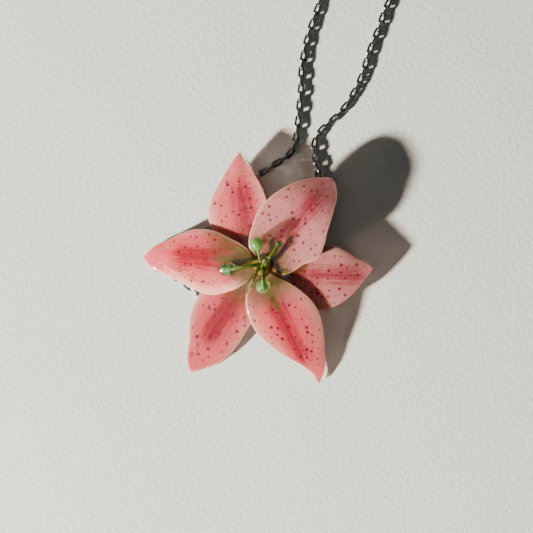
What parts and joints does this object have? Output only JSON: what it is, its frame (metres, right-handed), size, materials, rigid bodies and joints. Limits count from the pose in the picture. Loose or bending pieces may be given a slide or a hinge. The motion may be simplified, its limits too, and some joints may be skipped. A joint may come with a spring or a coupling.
{
  "type": "lily pendant necklace",
  "caption": "Resin-coated lily pendant with spotted petals in two layers and beaded stamens, glued to a bail on a fine cable chain with a lobster clasp.",
  "frame": {"origin": "under the middle of the pendant, on the surface that it rests on", "axes": "+Z the way the flower faces, +Y towards the ends of the chain as it lies, +X to the flower's right seen from the front"},
  "size_m": [0.0673, 0.1117, 0.012],
  "materials": {
    "coated_petal": "painted shrink plastic under a clear glossy resin coat",
    "clear_resin": "clear cured resin, glossy",
    "green_resin": "translucent green resin, glossy",
    "bail_steel": "polished plate",
    "chain_steel": "polished plate on fine wire links",
    "clasp_steel": "polished plate"
  },
  "bodies": {
    "necklace": {"petal_front_upper_right": "coated_petal", "petal_front_left": "coated_petal", "petal_front_lower_right": "coated_petal", "petal_back_top": "coated_petal", "petal_back_right": "coated_petal", "petal_back_lower_left": "coated_petal", "throat_resin": "clear_resin", "anther_top": "green_resin", "anther_left": "green_resin", "anther_bottom": "green_resin", "anther_upper_right": "green_resin", "anther_lower_left": "green_resin", "filament_top": "green_resin", "filament_left": "green_resin", "filament_bottom": "green_resin", "filament_upper_right": "green_resin", "filament_lower_left": "green_resin", "style": "green_resin", "stigma": "clear_resin", "back_resin": "clear_resin", "bail": "bail_steel", "chain_run_left": "chain_steel", "chain_run_right": "chain_steel", "chain_run_clasp": "chain_steel", "chain_coil": "chain_steel", "clasp_ring": "clasp_steel", "clasp_body": "clasp_steel", "clasp_pin": "clasp_steel", "end_ring": "clasp_steel"},
    "lever": {"clasp_lever": "clasp_steel"}
  },
  "joints": [
    {"name": "lever_hinge", "type": "hinge", "parent": "necklace", "child": "lever", "pos_m": [0.03619, 0.08199, 0.0011], "axis": [0, 0, 1], "range_deg": [0, 25], "stiffness_Nm_per_rad": 0.0004}
  ]
}
